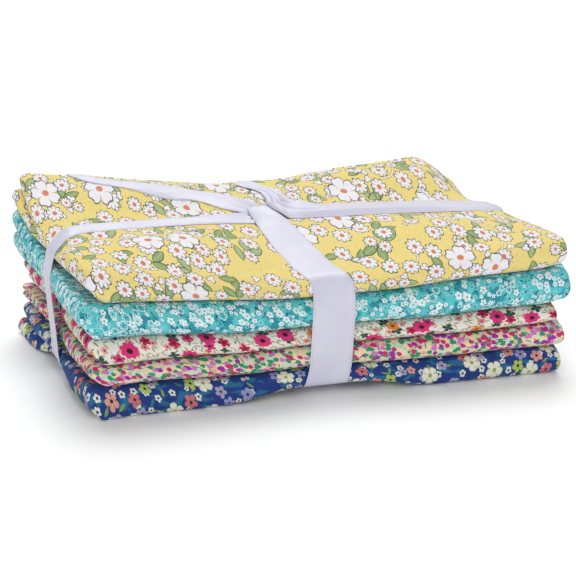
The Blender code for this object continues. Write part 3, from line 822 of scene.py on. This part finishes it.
def ribbon_piece(name, grid, across, along):
    """A strip of ribbon from its grid of points, with its own coordinates across and along it."""
    mesh = sheet_mesh(name, grid, ribbon=(across, along))
    mesh.materials.append(satin)
    soft_piece(name, mesh, RIBBON_THICKNESS, "ribbon")


def turn_of_ribbon(side_axis, start, stop, middle, width, raised):
    """Rows of the ribbon round the pile between two headings. The functions take a place and its height."""
    headings = np.linspace(start, stop, 1600)
    core = drawn_tight(side_axis, 0.0 if side_axis == 0 else TIE_Y, headings)
    path = np.stack((core * np.cos(headings), core * np.sin(headings)), axis=-1)
    run = np.concatenate(([0.0], np.cumsum(np.linalg.norm(np.diff(path, axis=0), axis=1))))
    even = np.linspace(0.0, run[-1], int(run[-1] / 1.6))
    headings = np.interp(even, run, headings)
    place_ = np.interp(even, run, path[:, 0])
    height_ = np.interp(even, run, path[:, 1]) + PILE_CORE_Z
    lines = np.linspace(-24.0, 24.0, 17)
    table = np.stack([drawn_tight(side_axis, beside, headings) for beside in lines])
    soft = np.ones(5) / 5.0
    grid = np.zeros((len(even), len(ACROSS), 3))
    lifted = np.zeros(grid.shape[:2])
    mid, wide = middle(place_, height_), width(place_, height_)
    for j, t in enumerate(ACROSS):
        beside = mid + t * wide / 2.0
        far = np.array([np.interp(b, lines, table[:, i]) for i, b in enumerate(beside)])
        padded = np.concatenate((far[:1].repeat(2), far, far[-1:].repeat(2)))
        far = np.maximum(np.convolve(padded, soft, "valid"), far) + RIBBON_RIDE
        grid[:, j, side_axis] = beside
        grid[:, j, 1 - side_axis] = far * np.cos(headings)
        grid[:, j, 2] = far * np.sin(headings) + PILE_CORE_Z
        lifted[:, j] = np.maximum(raised(place_, height_, t), 0.0)
    # on top the ribbon lies on the cloth that it presses down
    under = np.array([top_of_pile(x, y, 0.0) for x, y in grid[..., :2].reshape(-1, 2)]).reshape(lifted.shape)
    half = HALF_DEPTH if side_axis == 0 else HALF_LENGTH
    inner = ease((half - 6.0 - np.abs(place_)) / 10.0) * on_top(height_)
    hollow = np.clip(grid[..., 2] - cover(under, 2) - RIBBON_RIDE, 0.0, 4.0)
    grid[..., 2] += lifted - hollow * inner[:, None]
    return grid


def satin_finish():
    material, tree, shader = new_finish("satin_ribbon")
    place_ = step_in(tree, "ShaderNodeUVMap", uv_map="ribbon").outputs[0]
    axes = step_in(tree, "ShaderNodeSeparateXYZ", place_)
    inwards = minus(tree, RIBBON_WIDTH / 2, sums(tree, "ABSOLUTE", axes.outputs[0]))
    seam = sums(tree, "ABSOLUTE", minus(tree, inwards, 1.0))
    seam = minus(tree, 1.0, soft_step(tree, seam, 0.05, 0.3))
    cloudy = soft_step(tree, noise(tree, place_, 0.05), 0.35, 0.65)
    colour = laid_over(tree, (0.59, 0.58, 0.70), (0.63, 0.62, 0.73), cloudy)
    colour = laid_over(tree, colour, (0.47, 0.46, 0.56), times(tree, seam, 0.6))
    tree.links.new(colour, shader.inputs["Base Color"])
    threads = sums(tree, "SINE", times(tree, axes.outputs[1], 14.0))
    height = sums(tree, "ADD", times(tree, threads, 0.06), noise(tree, place_, 0.35))
    relief(tree, shader, minus(tree, height, times(tree, seam, 0.5)), 0.25, 0.0003)
    floats = step_in(tree, "ShaderNodeTangent", direction_type="UV_MAP", uv_map="ribbon")
    tree.links.new(floats.outputs[0], shader.inputs["Tangent"])
    set_inputs(shader, {"Roughness": 0.40, "Anisotropic": 0.85, "Specular IOR Level": 0.8,
                        "Sheen Weight": 0.25, "Sheen Roughness": 0.3})
    return material


satin = satin_finish()


def lengthwise_middle(x, z):
    on_arm = np.interp(x, (-118, -108, -95, -79, -57, -43, -25, 0, 28, 50, 95, 118),
                       (4.5, 6.5, 8.6, 8.0, 6.6, 5.5, 3.6, 3.4, 4.2, 4.7, 4.3, 4.0))
    below = TIE_Y - 4.0 * ease(-x / 110.0)
    return below + (on_arm - below) * ease((z - 22.0) / 38.0)


def lengthwise_width(x, z):
    left = np.interp(x, (-118, -95, -43, -30, -18, 0), (14.0, 12.0, 11.6, 14.0, 18.5, 20.0))
    return RIBBON_WIDTH + (left - RIBBON_WIDTH) * ease((z - 2.0) / 14.0) * (x < 0)


def lengthwise_raised(x, z, t):
    slope = ease((t + 1.0) / 0.42) if t < -0.58 else 1.0 - 0.8 * ease((t + 0.58) / 1.58)
    ridge = 2.6 * bell(x - 26.0, 75.0) * ease(x / 14.0) * slope
    pleats = 0.4 * bell(x + 20.0, 18.0) * (1.0 + math.cos(9.0 * t))
    crown = 1.5 * ease((-15.0 - x) / 20.0) * (1.0 - t * t)
    return (ridge + pleats + crown) * on_top(z)


around = turn_of_ribbon(1, math.pi / 2 + 0.05, 2.0 * math.pi + math.atan2(35.5, 28.0), lengthwise_middle,
                        lengthwise_width, lengthwise_raised)


# The same ribbon turns at the knot into the narrow rear arm, goes down behind, under the pile and up the
# front at its full width, and ends in a round fold over the left arm.
def crosswise_middle(y, z):
    arms = np.interp(y, (-73, -66, -51, -30, -12, 5, 14, 36, 43, 50, 57, 66),
                     (2.0, 0.8, -4.2, -7.3, -8.8, -9.2, -9.5, 5.3, 3.8, -0.6, -2.8, -3.4))
    front_face = np.interp(z, (3, 15, 45), (-1.8, 0.4, 2.0))
    below = np.where(y < 0, front_face, -2.5)
    return below + (arms - below) * on_top(z)


def crosswise_width(y, z):
    arms = np.interp(y, (-66, -30, -12, 0, 8, 14, 36, 66), (20.0, 18.6, 17.0, 15.5, 13.6, 11.0, 10.0, 11.0))
    wider_below = 1.0 * (y < 0) * ease((12.0 - z) / 9.0)
    return RIBBON_WIDTH + wider_below + (arms - RIBBON_WIDTH) * ease((z - 36.0) / 24.0)


def crosswise_raised(y, z, t):
    over_knot = 2.9 * ease((y + 16.0) / 18.0) * (1.0 - 0.2 * ease((y - 11.0) / 4.0)) * (y < 20)
    low_edge = 0.8 - 0.4 * ease((y + 2.0) / 8.0) if t > 0 else 0.6 - 0.35 * ease((y - 3.0) / 5.0)
    over_knot = over_knot * (1.0 - low_edge * abs(t) ** 3)
    pleats = 0.7 * ease((y - 22.0) / 8.0) * np.abs(math.cos(4.5 * t + 0.6))
    pleats = pleats * (1.0 - 0.7 * ease((y - 46.0) / 14.0))
    crown = 0.5 * (1.0 - t * t) * bell(y + 25.0, 25.0)
    return (over_knot + pleats + crown) * on_top(z)


across_pile = turn_of_ribbon(0, math.atan2(36.6, 36.0), math.atan2(35.0, 15.5) - 2.0 * math.pi,
                             crosswise_middle, crosswise_width, crosswise_raised)


# The knot itself: the gather between the right arm and the rear arm, and the one free end, which comes out
# from under it, folded under along its front edge, and lies to the left over the rear lobe.
def curve_through(points, steps):
    """A smooth curve through the points."""
    points = np.array(points, float)
    chord = np.concatenate(([0.0], np.cumsum(np.linalg.norm(np.diff(points, axis=0), axis=1) + 1.0)))
    at = np.linspace(0.0, chord[-1], steps)
    i = np.clip(np.searchsorted(chord, at) - 1, 0, len(points) - 2)
    u = ((at - chord[i]) / (chord[i + 1] - chord[i]))[:, None]
    tangent = np.gradient(points, chord, axis=0)
    span = (chord[i + 1] - chord[i])[:, None]
    return ((2 * u ** 3 - 3 * u ** 2 + 1) * points[i] + (u ** 3 - 2 * u ** 2 + u) * tangent[i] * span
            + (-2 * u ** 3 + 3 * u ** 2) * points[i + 1] + (u ** 3 - u ** 2) * tangent[i + 1] * span)


front_arm = across_pile[-40:]
arm_tree = BVHTree.FromPolygons((front_arm.reshape(-1, 3) / 1000.0).tolist(),
                                grid_faces(*front_arm.shape[:2]).tolist())


def gathered(before, after, near, far, steps):
    """Rows of the gather between two turns, with the wrinkles that the knot draws in."""
    sides = []
    for column, through in ((0, near), (-1, far)):
        points = [before[-4, column], before[-1, column], *through, after[0, column], after[3, column]]
        curve = curve_through(points, 3 * steps)
        first = np.argmin(np.linalg.norm(curve - before[-1, column], axis=1)) + 2
        last = np.argmin(np.linalg.norm(curve - after[0, column], axis=1)) - 2
        pick = np.linspace(first, last, steps)
        count = np.arange(len(curve))
        sides.append(np.stack([np.interp(pick, count, curve[:, k]) for k in range(3)], axis=-1))
    s = np.linspace(0.0, 1.0, steps)[:, None]
    t = ACROSS[None, :]
    rows = sides[0][:, None, :] + (sides[1] - sides[0])[:, None, :] * ((t + 1.0) / 2.0)[..., None]
    shares = 1.0 - ease(s / 0.5), ease((s - 0.6) / 0.4)
    for row, share in zip((before[-1], after[0]), shares):
        straight = row[0] + (row[-1] - row[0]) * ((t[0] + 1.0) / 2.0)[:, None]
        rows = rows + (row - straight)[None, :, :] * share[..., None]
    under = np.array([max(top_of_pile(x, y), seen_from_above(arm_tree, x, y, 0.0))
                      for x, y in rows[..., :2].reshape(-1, 2)])
    lying = cover(under.reshape(rows.shape[:2]), 2) + 0.42
    rows[:, :, 2] = (lying + (before[-1][:, 2] - lying[0]) * shares[0]
                     + (after[0][:, 2] - lying[-1]) * shares[1])
    pleats = 1.9 * np.abs(np.cos(4.6 * t + 0.5 + 1.2 * s)) ** 0.8
    pleats = pleats + 1.3 * np.abs(np.cos(8.0 * t - 4.0 * s + 0.4)) ** 0.7
    pleats = pleats + 0.4 * np.abs(np.cos(9.0 * s + 5.0 * t))
    rows[:, :, 2] += np.sin(math.pi * s) ** 1.5 * (0.7 + pleats) * (1.0 - t ** 4)
    return rows


gather = gathered(around, across_pile,
                  [(15, -5.4, 69.6), (5.4, -4.6, 69.8), (-0.6, -2.2, 70.8), (-4.2, 3.5, 72.8),
                   (-4.8, 11, 73.0), (-2.9, 20, 71.4), (-0.6, 30, 70.6)],
                  [(20.4, 15.0, 71.6), (14.8, 17.0, 72.2), (11.8, 22, 72.0), (11.0, 29, 71.3)], 80)
ribbon = np.concatenate((around, gather, across_pile))
ribbon_piece("ribbon_round_pile", ribbon, ACROSS / 2.0 * RIBBON_WIDTH, run_along(ribbon, 16))


def ribbon_between(name, near, far, steps, pleats, crown, keep_off):
    """A strip between two edge curves, kept off the cloth; what its width leaves over is folded under the
    near edge. The last number of a point is its height over the cloth, or over the table if above 20. Pleats
    and crown take the share along the strip."""
    near, far = (curve_through([(x, y, z if z > 20 else z + top_of_pile(x, y)) for x, y, z in side], steps)
                 for side in (near, far))
    wide = np.linalg.norm(far - near, axis=1)
    spare = np.clip(RIBBON_WIDTH - wide - 1.5, 0.0, 0.85 * wide)
    tucked = ease(spare / 2.0)
    sideways = (far - near) / wide[:, None]
    along = np.linspace(0.0, 1.0, steps)
    columns, across = [], []
    for t in np.linspace(1.0, 0.0, 9):
        spot = near + sideways * (spare * t)[:, None]
        spot[:, 2] -= 0.5 * tucked
        for row in spot:
            row[2] = max(row[2], top_of_pile(row[0], row[1], -1.0) + keep_off)
        columns.append(spot)
        across.append(-wide / 2.0 - 1.0 - spare * t)
    turn = near - sideways * (0.25 * tucked)[:, None]
    turn[:, 2] = columns[-1][:, 2] + 0.25 * tucked
    columns.append(turn)
    across.append(-wide / 2.0 - 0.5)
    for t in np.linspace(-1.0, 1.0, 21):
        spot = near + (far - near) * (t + 1.0) / 2.0
        spot[:, 2] += crown(along) * (1.0 - t * t) + pleats(along, t) * (1.0 - t ** 4)
        for k, row in enumerate(spot):
            over_tuck = 0.5 * tucked[k] * (1.0 if (t + 1.0) * wide[k] / 2.0 < spare[k] + 1.5 else 0.35)
            row[2] = max(row[2], top_of_pile(row[0], row[1], -1.0) + keep_off + over_tuck)
        columns.append(spot)
        across.append(wide / 2.0 * t)
    grid = np.stack(columns, axis=1)
    ribbon_piece(name, grid, np.stack(across, axis=1), run_along(grid, 20))


ribbon_between(
    "ribbon_free_end",
    [(-5, 2, 1.4), (-10, 5.2, 1.7), (-15.1, 8.9, 1.6), (-24.2, 21.7, 0.7), (-33.5, 30.6, 0.6),
     (-48.2, 33.6, 0.6), (-64, 40.6, 0.6), (-79, 49.2, 0.6), (-86.8, 58.3, 0.6), (-90, 66, 0.5),
     (-92, 71.2, 77), (-94, 72.4, 66), (-96, 71.8, 50)],
    [(3, 9, 1.6), (-2, 12, 2.0), (-6.6, 16.4, 2.0), (-9.4, 27.5, 1.4), (-18, 40.6, 0.7), (-30.2, 42.7, 0.6),
     (-45.4, 43.4, 0.6), (-61.5, 48.8, 0.6), (-72.4, 56, 0.6), (-77.5, 62.5, 0.5), (-79.5, 71.2, 76),
     (-80.5, 72.4, 65), (-82, 71.8, 49)],
    150,
    lambda s, t: (0.4 * bell(s - 0.16, 0.10) * math.cos(8.0 * t + 0.4)
                  + 0.3 * bell(s - 0.4, 0.2) * math.cos(4.0 * t + 1.4)),
    lambda s: 0.5 * bell(s - 0.3, 0.1) + 0.7 * bell(s - 0.6, 0.25), 0.36)
